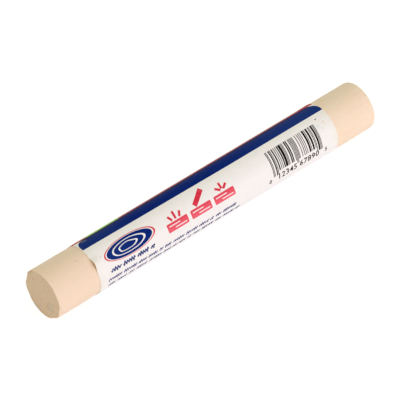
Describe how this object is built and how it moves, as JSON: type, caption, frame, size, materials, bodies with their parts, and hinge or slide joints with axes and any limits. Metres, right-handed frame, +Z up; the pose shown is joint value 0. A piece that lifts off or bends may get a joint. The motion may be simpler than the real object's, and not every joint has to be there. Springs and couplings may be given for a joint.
{
  "type": "furniture repair wax stick",
  "caption": "Round stick of cream filling wax for wood repairs, lying on its side, wrapped once in a lapped, printed glossy paper label with bare wax at both ends.",
  "frame": {"origin": "middle of the stick's footprint, on the surface that it lies on", "axes": "+X along the stick from the cut near end to the moulded far end, +Y to the back, +Z up"},
  "size_m": [0.1, 0.013, 0.013],
  "materials": {
    "wax": "satin",
    "label_paper": "gloss",
    "glue": "satin",
    "ink_blue": "gloss",
    "ink_red": "gloss",
    "ink_green": "gloss",
    "ink_black": "gloss"
  },
  "bodies": {
    "root": {"wax_stick": "wax", "label": "label_paper", "tack_glue": "glue", "lap_glue": "glue"}
  },
  "joints": []
}
